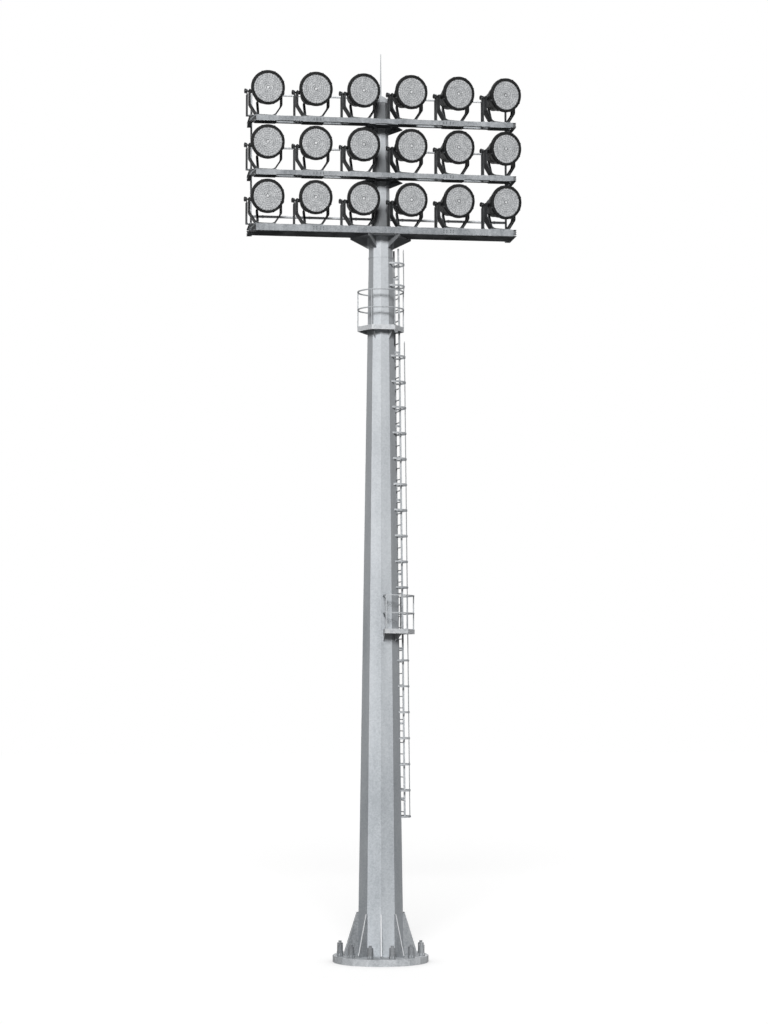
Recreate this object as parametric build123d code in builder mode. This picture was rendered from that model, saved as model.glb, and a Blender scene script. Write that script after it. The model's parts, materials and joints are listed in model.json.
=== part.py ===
from build123d import *
import math
import os

os.makedirs("parts", exist_ok=True)

# Stadium floodlight pylon: flanged ten-sided mast, caged ladder, two platforms
# and a head of three lamp tiers. Millimetres and degrees, +Z up, origin at the
# centre of the base flange's underside. The lamps look along -Y.

seat = 0.3                      # clearance between pieces that are bolted or welded up
round_sides = 24                # flats drawn round caps and lamp castings

# pole
pole_sides = 10
pole_turn = 11.5                # bearing of the corner that carries the ladder
pole_foot_radius = 624          # corner radius, measured at ground level
pole_top_radius = 332
pole_top = 18400
pole_wall = 10

# base
base_sides = 20
base_radius = 1243
base_thickness = 175
bolt_circle_radius = 1090
bolt_count = 12
bolt_turn = -3                  # first bolt, from the ladder corner
bolt_hole_radius = 36
gusset_top = 1260
gusset_clearance = 12           # between the gussets' feet and the washers' circle
gusset_toe = 60
gusset_head = 50
gusset_thickness = 30
washer_radius = 88
washer_thickness = 14
cap_radius = 76
cap_height = 270
cap_bore_depth = 250
cap_tip_radius = 40
cap_tip_height = 54

# ladder
ladder_foot = 3700
ladder_overrun = 270            # the ladder ends this far above the pole's top joint
ladder_foot_gap = 38.717        # from the pole's corner out to the stringers' middle
ladder_head_gap = 98
ladder_half_width = 180
stringer_depth = 50
stringer_thickness = 12
rung_size = 24
rung_pitch = 300
rung_inset = 150
bracket_pitch = 1950
bracket_inset = 500
bracket_height = 60

# safety cage
cage_radius = 350
cage_set_back = 138             # hoop centres lie this far inside the stringers
hoop_height = 50
hoop_thickness = 8
hoop_pitch = 677
cage_foot_rise = 30             # first hoop, above the foot of the ladder
middle_cage_rise = 1100         # first hoop above the rest platform's floor
upper_cage_rise = 1090          # first hoop above the upper platform's floor
upper_hoop_pitch = 590
strap_width = 40
strap_thickness = 6
strap_angles = (-35, 0, 35)
strap_overlap = 1
strap_head_drop = 380           # the long straps end this far below the upper floor
upper_strap_rise = 970          # and the short ones start this far above it
strap_end_drop = 20             # below the head of the ladder

# platforms
deck_thickness = 8
fascia_thickness = 8
rest_floor = 8600
rest_fascia = 120
rest_deck_width = 412.478       # from the pole's corners out to the deck's corners
rest_sides = 8                  # the deck is half of this polygon, on the +X side
rest_hole_radius = 370
rest_bracket_depth = 320
rest_end_inset = 2              # turns the end posts and brackets in over the deck
upper_floor_drop = 1820         # below the pole's top joint
upper_fascia = 130
upper_deck_width = 259.1174
upper_corner_count = 6
upper_open_corner = 120         # bearing of the one corner that has no post
upper_bracket_depth = 332
bracket_plate = 10
slot_clearance = 10
rest_guard_top = 890
rest_guard_middle = 430
upper_guard_top = 943
upper_guard_middle = 470
guard_bar = 30
guard_inset = 15

# head
collar_height = 550
collar_radius = 322
seam_proud = 8
seam_height = 30
head_plate_radius = 700
head_plate_thickness = 22
head_arm_reach = 810
head_arm_lip = 50
head_arm_depth = 305
head_arm_thickness = 20
mast_height = 3620
mast_foot_radius = 270
mast_top_radius = 190
mast_wall = 8
cap_dome_height = 210
cap_dome_rings = 6
cap_overhang = 6
cap_skirt = 30
rod_foot_radius = 22
rod_tip_radius = 9
rod_height = 1350

# tiers
low_beam_rise = 200             # top of the lowest beams, above the collar
tier_pitch = 1435
beam_heights = (170, 125, 125)
beam_wall = 8
beam_flange = 80
front_beam_face = -650
mast_gap = 5                    # between the mast's foot and the rear beams
tier_half_length = 3450
end_flange = 90
rear_post_gap = 45              # from the mast's foot radius to the tiers' rear ends
deck_front_inset = 5
deck_back = 120
tier_bracket_width = 320
tier_bracket_thickness = 16
tier_arm_depth = 150
tongue_place = 295
tongue_width = 160
post_size = 50
post_overrun = 765              # above the top tier's beams
rail_radius = 17
rail_rises = (364, 780, 763)
clip_width = 40
clip_thickness = 12

# lamps
lamp_columns = 6
lamp_end_margin = 337.5         # from the outer lamps to the tiers' ends
first_yaw = 5.5
yaw_step = 2.4
rest_tilt = 8
trunnion_rise = 664
trunnion_y = -430
fitting_sides = 12              # flats drawn round the bosses and knobs
rim_radius = 440
rim_depth = 90
rim_forward = 420
lamp_rise = 85
rim_land = 60                   # from the lens out to the edge of the rim
lens_thickness = 12
lens_recess = 25
horn_inset = 15                 # the horn's mouth, inside the rim
horn_stations = ((450, 325, 55), (740, 250, 104), (800, 215, 112))    # depth, radius and drop
horn_mouth_depth = 60
housing_wall = 6
lens_ledge = 20
boss_radius = 50
boss_clearance = 10             # between the bosses and the yoke
pin_radius = 22
pin_clearance = 0.5
knob_radius = 55
knob_clearance = 7              # between each knob and the piece inside it
knob_length = 55
link_place = -170
link_top = (300, -150)
link_foot = (50, -565)
link_width = 60
link_thickness = 16
seat_plate_width = 560
seat_plate_thickness = 10
clamp_plate_thickness = 14
clamped_columns = (0, 1, 4, 5)  # lamps clear of the mast bracket
crossbar_overhang = 20
crossbar_width = 130
yoke_place = 440
yoke_width = 200
yoke_thickness = 16
yoke_shoulder = -360
yoke_taper = 195                # how far each side of the yoke comes in at its foot
yoke_rise = 40
yoke_bend_radius = 110
leg_gap = 50                    # from the yoke out to the middle of the single leg
leg_width = 120
leg_thickness = 12

corner_step = 360 / pole_sides
flat_share = math.cos(math.radians(corner_step / 2))
gusset_reach = bolt_circle_radius - washer_radius - gusset_clearance
pole_foot = base_thickness + seat
bolt_bearing = pole_turn + bolt_turn
upper_floor = pole_top - upper_floor_drop
ladder_head = pole_top + ladder_overrun
collar_top = pole_top + collar_height
head_plate_top = collar_top + head_plate_thickness
mast_foot = head_plate_top + seat
mast_top = collar_top + mast_height
rod_tip = mast_top + rod_height
beam_tops = [collar_top + low_beam_rise + tier * tier_pitch for tier in range(len(beam_heights))]
deck_bottom = beam_tops[0] - beam_heights[0] - deck_thickness
post_top = beam_tops[-1] + post_overrun
front_beam = (front_beam_face, front_beam_face + beam_flange)
rear_beam = (-mast_foot_radius - mast_gap - beam_flange, -mast_foot_radius - mast_gap)
end_channel_back = mast_foot_radius + rear_post_gap
deck_front = front_beam[0] + deck_front_inset
tier_bracket_radius = mast_foot_radius + tier_bracket_width
lamp_pitch = 2 * (tier_half_length - lamp_end_margin) / (lamp_columns - 1)
lens_radius = rim_radius - rim_land
leg_place = yoke_place + leg_gap
yoke_base_half = yoke_place - yoke_taper


# ---- shared geometry

def pole_radius(height):
    return pole_foot_radius - (pole_foot_radius - pole_top_radius) * height / pole_top


ladder_foot_radius = pole_radius(ladder_foot) + ladder_foot_gap
ladder_head_radius = pole_top_radius + ladder_head_gap
rest_radius = pole_radius(rest_floor) + rest_deck_width
upper_radius = pole_radius(upper_floor) + upper_deck_width


def mast_radius(height):
    share = (height - mast_foot) / (mast_top - mast_foot)
    return mast_foot_radius - (mast_foot_radius - mast_top_radius) * share


def ladder_radius(height):
    lean = (ladder_foot_radius - ladder_head_radius) / (ladder_head - ladder_foot)
    return ladder_foot_radius - lean * (height - ladder_foot)


def cage_centre(height):
    return ladder_radius(height) - cage_set_back


def flat_reach(corner_radius, bearing, side=0):
    # how far out along a bearing the ten-sided skin lies, on a line moved sideways
    reaches = []
    for index in range(pole_sides):
        normal = pole_turn + (index + 0.5) * corner_step
        turn = math.radians(normal - bearing)
        if math.cos(turn) > 0.1:
            reaches.append((corner_radius * flat_share - side * math.sin(turn)) / math.cos(turn))
    return min(reaches)


def plate_start(corner_radius, bearing, thickness, side=0):
    # inner edge of an upright plate that stands against the ten-sided skin
    edges = [side - thickness / 2, side + thickness / 2]
    for index in range(pole_sides):
        turn = math.radians(pole_turn + index * corner_step - bearing)
        corner = corner_radius * math.sin(turn)
        if math.cos(turn) > 0 and edges[0] < corner < edges[1]:
            edges.append(corner)
    return max(flat_reach(corner_radius, bearing, edge) for edge in edges) + seat


def radial_plane(bearing):
    # upright plane through the axis: x runs outwards along the bearing, y is up
    turn = math.radians(bearing)
    outward = (math.cos(turn), math.sin(turn), 0)
    sideways = (math.sin(turn), -math.cos(turn), 0)
    return Plane(origin=(0, 0, 0), x_dir=outward, z_dir=sideways)


def ladder_plane(reach, height):
    # level plane on the ladder's bearing, with x pointing away from the pole
    turn = math.radians(pole_turn)
    outward = (math.cos(turn), math.sin(turn), 0)
    return Plane(origin=(reach * outward[0], reach * outward[1], height), x_dir=outward, z_dir=(0, 0, 1))


def ring_corners(radius, bearings):
    return [
        (radius * math.cos(math.radians(bearing)), radius * math.sin(math.radians(bearing)))
        for bearing in bearings
    ]


def plate(plane, outline, thickness):
    # flat plate cut to an outline, half its thickness on each side of the plane
    with BuildPart() as form:
        with BuildSketch(plane):
            with BuildLine():
                Polyline(*outline, close=True)
            make_face()
        extrude(amount=thickness / 2, both=True)
    return form.part


def block(x_range, y_range, z_range):
    with BuildPart() as form:
        with BuildSketch(Plane.XY.offset(z_range[0])):
            with Locations(((x_range[0] + x_range[1]) / 2, (y_range[0] + y_range[1]) / 2)):
                Rectangle(x_range[1] - x_range[0], y_range[1] - y_range[0])
        extrude(amount=z_range[1] - z_range[0])
    return form.part


def tapered_tube(low, low_radius, high, high_radius, wall):
    # ten-sided tube with flat facets and the same corner bearings all the way up
    bearings = [pole_turn + index * corner_step for index in range(pole_sides)]
    with BuildPart() as form:
        for inset, mode in ((0, Mode.ADD), (wall / flat_share, Mode.SUBTRACT)):
            corners = [(x, y, low) for x, y in ring_corners(low_radius - inset, bearings)]
            corners += [(x, y, high) for x, y in ring_corners(high_radius - inset, bearings)]
            ConvexPolyhedron(corners, mode=mode)
    return form.part


def finish(name, piece):
    piece.label = name
    export_step(piece, f"parts/{name}.step")


# ---- base

with BuildPart() as base_flange:
    with BuildSketch():
        RegularPolygon(base_radius, base_sides, rotation=pole_turn)
        with PolarLocations(bolt_circle_radius, bolt_count, start_angle=bolt_bearing):
            Circle(bolt_hole_radius, mode=Mode.SUBTRACT)
    extrude(amount=base_thickness)
finish("base_flange", base_flange.part)

gusset_outline = (
    (plate_start(pole_radius(pole_foot), pole_turn, gusset_thickness), pole_foot),
    (gusset_reach, pole_foot),
    (gusset_reach, pole_foot + gusset_toe),
    (pole_radius(gusset_top) + gusset_head, gusset_top),
    (plate_start(pole_radius(gusset_top), pole_turn, gusset_thickness), gusset_top),
)
gusset_form = plate(radial_plane(pole_turn), gusset_outline, gusset_thickness)

with BuildPart() as base_gussets:
    with PolarLocations(0, pole_sides):
        add(gusset_form)
finish("base_gussets", base_gussets.part)

# long nuts under closed caps, open below for the anchor bolts
with BuildPart() as cap_form:
    with BuildSketch(Plane.XY.offset(pole_foot)):
        RegularPolygon(washer_radius, round_sides)
    extrude(amount=washer_thickness)
    with BuildSketch(Plane.XY.offset(pole_foot + washer_thickness)):
        RegularPolygon(cap_radius, round_sides)
    extrude(amount=cap_height)
    with BuildSketch(Plane.XY.offset(pole_foot + washer_thickness + cap_height)):
        RegularPolygon(cap_tip_radius, round_sides)
    extrude(amount=cap_tip_height)
    with BuildSketch(Plane.XY.offset(pole_foot)):
        RegularPolygon(bolt_hole_radius, round_sides)
    extrude(amount=cap_bore_depth, mode=Mode.SUBTRACT)

with BuildPart() as anchor_caps:
    with PolarLocations(bolt_circle_radius, bolt_count, start_angle=bolt_bearing):
        add(cap_form.part)
finish("anchor_caps", anchor_caps.part)


# ---- pole

with BuildPart() as pole_shaft:
    add(tapered_tube(pole_foot, pole_radius(pole_foot), pole_top, pole_top_radius, pole_wall))
finish("pole_shaft", pole_shaft.part)


# ---- ladder and safety cage

stringer_outline = (
    (ladder_foot_radius - stringer_depth / 2, ladder_foot),
    (ladder_foot_radius + stringer_depth / 2, ladder_foot),
    (ladder_head_radius + stringer_depth / 2, ladder_head),
    (ladder_head_radius - stringer_depth / 2, ladder_head),
)
rung_count = int((ladder_head - ladder_foot - 2 * rung_inset) // rung_pitch) + 1
bracket_count = int((ladder_head - ladder_foot - bracket_inset) // bracket_pitch) + 1


def wall_bracket(side, height):
    # flat bar from the pole's skin to a stringer
    low = height - bracket_height / 2
    start = plate_start(pole_radius(low), pole_turn, stringer_thickness, side)
    outline = (
        (start, low),
        (ladder_radius(height), low),
        (ladder_radius(height), low + bracket_height),
        (start, low + bracket_height),
    )
    return plate(radial_plane(pole_turn).offset(-side), outline, stringer_thickness)


with BuildPart() as ladder:
    for side in (-ladder_half_width, ladder_half_width):
        add(plate(radial_plane(pole_turn).offset(side), stringer_outline, stringer_thickness))
        for step in range(bracket_count):
            add(wall_bracket(side, ladder_foot + bracket_inset + step * bracket_pitch))
    with BuildSketch(radial_plane(pole_turn)):
        for step in range(rung_count):
            height = ladder_foot + rung_inset + step * rung_pitch
            with Locations((ladder_radius(height), height)):
                Rectangle(rung_size, rung_size)
    extrude(amount=ladder_half_width, both=True)
finish("ladder", ladder.part)


def hoop_half_angle(height):
    # the hoop stops where its inner edge meets the second flat beside the ladder corner
    turn = math.radians(1.5 * corner_step)
    low_radius = pole_radius(height - hoop_height / 2)
    inner = cage_radius - hoop_thickness
    share = (low_radius * flat_share + seat - cage_centre(height) * math.cos(turn)) / inner
    return 1.5 * corner_step + math.degrees(math.acos(share))


def hoop(height):
    half = hoop_half_angle(height)
    with BuildPart() as form:
        with BuildSketch(ladder_plane(cage_centre(height), height - hoop_height / 2)):
            with BuildLine():
                outer = CenterArc((0, 0), cage_radius, -half, 2 * half)
                inner = CenterArc((0, 0), cage_radius - hoop_thickness, -half, 2 * half)
                Line(outer @ 0, inner @ 0)
                Line(outer @ 1, inner @ 1)
            make_face()
        extrude(amount=hoop_height)
    return form.part


def cage_strap(angle, low, high):
    reach = cage_radius - hoop_thickness - strap_thickness / 2 + strap_overlap
    with BuildPart() as form:
        for height in (low, high):
            with BuildSketch(ladder_plane(cage_centre(height), height)):
                with PolarLocations(reach, 1, start_angle=angle):
                    Rectangle(strap_thickness, strap_width)
        loft(ruled=True)
    return form.part


def hoops_between(start, end, pitch):
    return [start + step * pitch for step in range(int((end - start) // pitch) + 1)]


cage_foot = ladder_foot + cage_foot_rise
strap_head = upper_floor - strap_head_drop
upper_strap_ends = (upper_floor + upper_strap_rise, ladder_head - strap_end_drop)
hoop_heights = hoops_between(cage_foot, rest_floor - rest_fascia - rest_bracket_depth, hoop_pitch)
hoop_heights += hoops_between(rest_floor + middle_cage_rise, strap_head, hoop_pitch)
hoop_heights += hoops_between(upper_floor + upper_cage_rise, upper_strap_ends[1], upper_hoop_pitch)

with BuildPart() as safety_cage:
    for angle in strap_angles:
        add(cage_strap(angle, cage_foot, strap_head))
        add(cage_strap(angle, *upper_strap_ends))
    for height in hoop_heights:
        add(hoop(height))
finish("safety_cage", safety_cage.part)


# ---- rest platform, half an octagon on the ladder side of the pole

rest_bottom = rest_floor - rest_fascia
rest_step = 360 / rest_sides
rest_bearings = [step * rest_step - 90 for step in range(rest_sides // 2 + 1)]
rest_supports = [rest_bearings[0] + rest_end_inset, *rest_bearings[1:-1], rest_bearings[-1] - rest_end_inset]


def platform_bracket(bearing, bottom, reach, depth):
    # upright triangle between the pole and the underside of a deck
    start = plate_start(pole_radius(bottom - depth), bearing, bracket_plate)
    outline = (
        (start, bottom - depth),
        (start + bracket_plate, bottom - depth),
        (reach, bottom),
        (start, bottom),
    )
    return plate(radial_plane(bearing), outline, bracket_plate)


with BuildSketch(Plane.XY.offset(rest_bottom)) as rest_outline:
    with BuildLine():
        Polyline(*ring_corners(rest_radius, rest_bearings), close=True)
    make_face()
    RegularPolygon(pole_radius(rest_bottom) + seat, pole_sides, rotation=pole_turn, mode=Mode.SUBTRACT)

with BuildSketch(Plane.XY.offset(rest_bottom)) as rest_recess:
    add(rest_outline.sketch)
    offset(amount=-fascia_thickness, kind=Kind.INTERSECTION, mode=Mode.REPLACE)

with BuildPart() as rest_platform:
    extrude(rest_outline.sketch, amount=rest_fascia)
    extrude(rest_recess.sketch, amount=rest_fascia - deck_thickness, mode=Mode.SUBTRACT)
    with BuildSketch(ladder_plane(cage_centre(rest_floor), rest_bottom)):
        Circle(rest_hole_radius)
    extrude(amount=rest_fascia, mode=Mode.SUBTRACT)
    for bearing in (rest_supports[0], rest_supports[1], rest_supports[-1]):
        reach = rest_radius * math.cos(math.radians(rest_step / 2)) - fascia_thickness
        add(platform_bracket(bearing, rest_floor - deck_thickness, reach, rest_bracket_depth))
finish("rest_platform", rest_platform.part)


def guard_posts(radius, bearings, floor, height):
    with BuildPart() as form:
        for bearing in bearings:
            with BuildSketch(radial_plane(bearing)):
                with Locations((radius, floor + seat + height / 2)):
                    Rectangle(guard_bar, height)
            extrude(amount=guard_bar / 2, both=True)
    return form.part


def guard_return(bearing, bottom):
    # end of the curved rail, brought back to the pole's skin
    start = plate_start(pole_radius(bottom), bearing, guard_bar)
    outline = (
        (start, bottom),
        (rest_post_radius, bottom),
        (rest_post_radius, bottom + guard_bar),
        (start, bottom + guard_bar),
    )
    return plate(radial_plane(bearing), outline, guard_bar)


rest_post_radius = rest_radius - guard_inset - guard_bar / 2

with BuildPart() as rest_guard_rail:
    add(guard_posts(rest_post_radius, rest_supports, rest_floor, rest_guard_top))
    for rise in (rest_guard_middle, rest_guard_top):
        bottom = rest_floor + seat + rise - guard_bar
        with BuildSketch(Plane.XY.offset(bottom)):
            with BuildLine():
                turn = rest_supports[-1] - rest_supports[0]
                outer = CenterArc((0, 0), rest_post_radius + guard_bar / 2, rest_supports[0], turn)
                inner = CenterArc((0, 0), rest_post_radius - guard_bar / 2, rest_supports[0], turn)
                Line(outer @ 0, inner @ 0)
                Line(outer @ 1, inner @ 1)
            make_face()
        extrude(amount=guard_bar)
        for bearing in (rest_supports[0], rest_supports[-1]):
            add(guard_return(bearing, bottom))
finish("rest_guard_rail", rest_guard_rail.part)


# ---- upper platform, a hexagon right round the pole

upper_bottom = upper_floor - upper_fascia
upper_bearings = [step * 360 / upper_corner_count for step in range(upper_corner_count)]
slot_depth = stringer_depth + 2 * slot_clearance
slot_length = 2 * (ladder_half_width + slot_clearance) + stringer_thickness

with BuildPart() as upper_platform:
    with BuildSketch(Plane.XY.offset(upper_bottom)):
        RegularPolygon(upper_radius, upper_corner_count)
    extrude(amount=upper_fascia)
    with BuildSketch(Plane.XY.offset(upper_bottom)):
        RegularPolygon(upper_radius, upper_corner_count)
        offset(amount=-fascia_thickness, kind=Kind.INTERSECTION, mode=Mode.REPLACE)
    extrude(amount=upper_fascia - deck_thickness, mode=Mode.SUBTRACT)
    with BuildSketch(Plane.XY.offset(upper_bottom)):
        RegularPolygon(pole_radius(upper_floor - deck_thickness) + seat, pole_sides, rotation=pole_turn)
    extrude(amount=upper_fascia, mode=Mode.SUBTRACT)
    with BuildSketch(ladder_plane(ladder_radius(upper_floor), upper_bottom)):
        Rectangle(slot_depth, slot_length)
    extrude(amount=upper_fascia, mode=Mode.SUBTRACT)
    for bearing in upper_bearings:
        reach = upper_radius - 2 * fascia_thickness
        from_ladder = abs(reach * math.sin(math.radians(bearing - pole_turn)))
        if from_ladder > slot_length / 2:
            add(platform_bracket(bearing, upper_floor - deck_thickness, reach, upper_bracket_depth))
finish("upper_platform", upper_platform.part)

upper_post_radius = upper_radius - guard_bar / 2
upper_posts = [bearing for bearing in upper_bearings if bearing != upper_open_corner]

with BuildPart() as upper_guard_rail:
    add(guard_posts(upper_post_radius, upper_posts, upper_floor, upper_guard_top))
    for rise in (upper_guard_middle, upper_guard_top):
        with BuildSketch(Plane.XY.offset(upper_floor + seat + rise - guard_bar)):
            Circle(upper_post_radius + guard_bar / 2)
            Circle(upper_post_radius - guard_bar / 2, mode=Mode.SUBTRACT)
        extrude(amount=guard_bar)
finish("upper_guard_rail", upper_guard_rail.part)


# ---- head collar, mast and lightning rod

arm_start = collar_radius * flat_share - pole_wall / 2
head_arm_outline = (
    (arm_start, collar_top - head_arm_depth),
    (head_arm_reach, collar_top - head_arm_lip),
    (head_arm_reach, collar_top),
    (arm_start, collar_top),
)

with BuildPart() as head_collar:
    add(tapered_tube(pole_top + seat, pole_top_radius, collar_top, collar_radius, pole_wall))
    with BuildSketch(Plane.XY.offset(pole_top + seat)):
        RegularPolygon(pole_top_radius + seam_proud, pole_sides, rotation=pole_turn)
        RegularPolygon(pole_top_radius - pole_wall / 2, pole_sides, rotation=pole_turn, mode=Mode.SUBTRACT)
    extrude(amount=seam_height)
    with BuildSketch(Plane.XY.offset(collar_top)):
        RegularPolygon(head_plate_radius, upper_corner_count)
    extrude(amount=head_plate_thickness)
    for bearing in upper_bearings:
        add(plate(radial_plane(bearing), head_arm_outline, head_arm_thickness))
finish("head_collar", head_collar.part)

with BuildPart() as head_mast:
    add(tapered_tube(mast_foot, mast_foot_radius, mast_top, mast_top_radius, mast_wall))
finish("head_mast", head_mast.part)

cap_foot = mast_top + seat
cap_edge = mast_top_radius + cap_overhang
cap_rise = cap_dome_height - cap_skirt


def level_ring(radius, height, sides):
    return [(x, y, height) for x, y in ring_corners(radius, [step * 360 / sides for step in range(sides)])]


dome_rings = level_ring(cap_edge, cap_foot, round_sides)
for ring in range(cap_dome_rings):
    turn = math.radians(90 * ring / cap_dome_rings)
    rise = cap_skirt + cap_rise * math.sin(turn)
    dome_rings += level_ring(cap_edge * math.cos(turn), cap_foot + rise, round_sides)

with BuildPart() as lightning_rod:
    ConvexPolyhedron(dome_rings)
    rod_rings = level_ring(rod_foot_radius, cap_foot + cap_skirt, fitting_sides)
    ConvexPolyhedron(rod_rings + level_ring(rod_tip_radius, rod_tip, fitting_sides))
finish("lightning_rod", lightning_rod.part)


# ---- lamp tiers

tier_names = ("low", "middle", "top")
beam_end = tier_half_length + beam_wall / 2


def channel_outline(web, tip, low, high):
    inner = web + math.copysign(beam_wall, tip - web)
    return (
        (web, low),
        (tip, low),
        (tip, low + beam_wall),
        (inner, low + beam_wall),
        (inner, high - beam_wall),
        (tip, high - beam_wall),
        (tip, high),
        (web, high),
    )


def tier_channels(low, high):
    end_middle = (front_beam[0] + end_channel_back) / 2
    end_length = end_channel_back - front_beam[0]
    with BuildPart() as form:
        add(plate(Plane.YZ, channel_outline(front_beam[0], front_beam[1], low, high), 2 * beam_end))
        add(plate(Plane.YZ, channel_outline(rear_beam[1], rear_beam[0], low, high), 2 * beam_end))
        for side in (-1, 1):
            web = side * tier_half_length
            outline = channel_outline(web, web + side * end_flange, low, high)
            add(plate(Plane.XZ.offset(-end_middle), outline, end_length))
    return form.part


def mast_bracket(top):
    # hexagon plate with ribs below and two tongues under the front beam
    low = top - tier_bracket_thickness
    with BuildPart() as form:
        with BuildSketch(Plane.XY.offset(low)):
            RegularPolygon(tier_bracket_radius, upper_corner_count)
            with Locations((-tongue_place, front_beam[0] / 2), (tongue_place, front_beam[0] / 2)):
                Rectangle(tongue_width, -front_beam[0])
            RegularPolygon(mast_radius(low) + seat, pole_sides, rotation=pole_turn, mode=Mode.SUBTRACT)
        extrude(amount=tier_bracket_thickness)
        for bearing in upper_bearings:
            reach = tier_bracket_radius - tier_bracket_thickness
            add(mast_rib(bearing, low, reach))
    return form.part


def mast_rib(bearing, top, reach):
    start = plate_start(mast_radius(top - tier_arm_depth), bearing, bracket_plate)
    outline = (
        (start, top - tier_arm_depth),
        (start + bracket_plate, top - tier_arm_depth),
        (reach, top - bracket_plate),
        (reach, top),
        (start, top),
    )
    return plate(radial_plane(bearing), outline, bracket_plate)


for name, top, height in zip(tier_names, beam_tops, beam_heights):
    with BuildPart() as tier_frame:
        add(tier_channels(top - height, top))
        if name != "low":
            add(mast_bracket(top - height))
    finish(f"{name}_tier_frame", tier_frame.part)

with BuildPart() as head_deck:
    with BuildSketch(Plane.XY.offset(deck_bottom)):
        with Locations((0, (deck_front + deck_back) / 2)):
            Rectangle(2 * tier_half_length, deck_back - deck_front)
        RegularPolygon(mast_foot_radius + seat, pole_sides, rotation=pole_turn, mode=Mode.SUBTRACT)
    extrude(amount=deck_thickness)
finish("head_deck", head_deck.part)

post_x = tier_half_length - seat - post_size / 2
post_y = end_channel_back - post_size / 2

with BuildPart() as rear_frame:
    with BuildSketch(Plane.XY.offset(beam_tops[0] - beam_heights[0])):
        with Locations((-post_x, post_y), (post_x, post_y)):
            Rectangle(post_size, post_size)
    extrude(amount=post_top - beam_tops[0] + beam_heights[0])
    with BuildSketch(Plane.YZ):
        for top, rise in zip(beam_tops, rail_rises):
            with Locations((post_y, top + rise)):
                Circle(rail_radius)
    extrude(amount=post_x, both=True)
    for top, rise in zip(beam_tops, rail_rises):
        if top + rise < mast_top:
            level = top + rise
            start = plate_start(mast_radius(level), 90, clip_width)
            thickness_range = (level - clip_thickness / 2, level + clip_thickness / 2)
            add(block((-clip_width / 2, clip_width / 2), (start, post_y), thickness_range))
finish("rear_frame", rear_frame.part)


# ---- lamps, modelled about the trunnion with the nose along -Y, then set in place

def column_x(column):
    return (column - (lamp_columns - 1) / 2) * lamp_pitch


def column_yaw(column):
    return first_yaw + column * yaw_step


def lamp_plane(column, beam_top, tilt):
    yaw = math.radians(column_yaw(column))
    lean = math.radians(tilt)
    across = (math.cos(yaw), math.sin(yaw), 0)
    upwards = (math.sin(yaw) * math.sin(lean), -math.cos(yaw) * math.sin(lean), math.cos(lean))
    place = (column_x(column), trunnion_y, beam_top + trunnion_rise)
    return Plane(origin=place, x_dir=across, z_dir=upwards)


def nose_plane(depth, drop=0):
    # upright plane across the lamp at a depth behind the rim, facing backwards
    return Plane(origin=(0, depth - rim_forward, lamp_rise - drop), x_dir=(-1, 0, 0), z_dir=(0, 1, 0))


def horn_ring(depth, radius, drop):
    # corners of the casting's round section at a depth behind the rim
    corners = ring_corners(radius, [step * 360 / round_sides for step in range(round_sides)])
    return [(x, depth - rim_forward, z + lamp_rise - drop) for x, z in corners]


outer_stations = [(horn_mouth_depth, rim_radius - horn_inset, 0), *horn_stations]
cavity_stations = [(depth, radius - housing_wall, drop) for depth, radius, drop in outer_stations[:-1]]
cavity_stations.append((outer_stations[-1][0] - housing_wall, *outer_stations[-1][1:]))
link_run = (link_foot[0] - link_top[0], link_foot[1] - link_top[1])
link_middle = ((link_foot[0] + link_top[0]) / 2, (link_foot[1] + link_top[1]) / 2)
boss_reach = yoke_place - yoke_thickness - boss_clearance
left_knob = leg_place + leg_thickness / 2 + knob_clearance
right_knob = yoke_place + knob_clearance

with BuildPart() as housing_form:
    for near, far in zip(outer_stations, outer_stations[1:]):
        ConvexPolyhedron(horn_ring(*near) + horn_ring(*far))
    with BuildSketch(nose_plane(0)):
        RegularPolygon(rim_radius, round_sides)
    extrude(amount=rim_depth)
    with BuildSketch(nose_plane(0)):
        RegularPolygon(lens_radius + seat, round_sides)
    extrude(amount=lens_recess + lens_thickness + seat, mode=Mode.SUBTRACT)
    with BuildSketch(Plane.YZ):
        RegularPolygon(boss_radius, fitting_sides)
    extrude(amount=boss_reach, both=True)
    with BuildSketch(Plane.YZ.offset(-left_knob)):
        RegularPolygon(pin_radius, fitting_sides)
    extrude(amount=left_knob + right_knob)
    for face, length in ((-left_knob, -knob_length), (right_knob, knob_length)):
        with BuildSketch(Plane.YZ.offset(face)):
            RegularPolygon(knob_radius, fitting_sides)
        extrude(amount=length)
    with BuildSketch(Plane.YZ.offset(link_place)):
        with Locations(link_middle):
            SlotCenterToCenter(
                math.hypot(*link_run),
                link_width,
                rotation=math.degrees(math.atan2(link_run[1], link_run[0])),
            )
    extrude(amount=link_thickness / 2, both=True)
    # cavity behind the lens, cut last so that it trims the bosses and the link too
    for near, far in zip(cavity_stations, cavity_stations[1:]):
        ConvexPolyhedron(horn_ring(*near) + horn_ring(*far), mode=Mode.SUBTRACT)
    with BuildSketch(nose_plane(lens_recess + lens_thickness)):
        RegularPolygon(lens_radius - lens_ledge, round_sides)
    extrude(amount=horn_mouth_depth - lens_recess - lens_thickness, mode=Mode.SUBTRACT)

with BuildPart() as lens_form:
    with BuildSketch(nose_plane(lens_recess)):
        RegularPolygon(lens_radius, round_sides)
    extrude(amount=lens_thickness)

yoke_foot = seat_plate_thickness + 2 * seat - trunnion_rise

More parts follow.
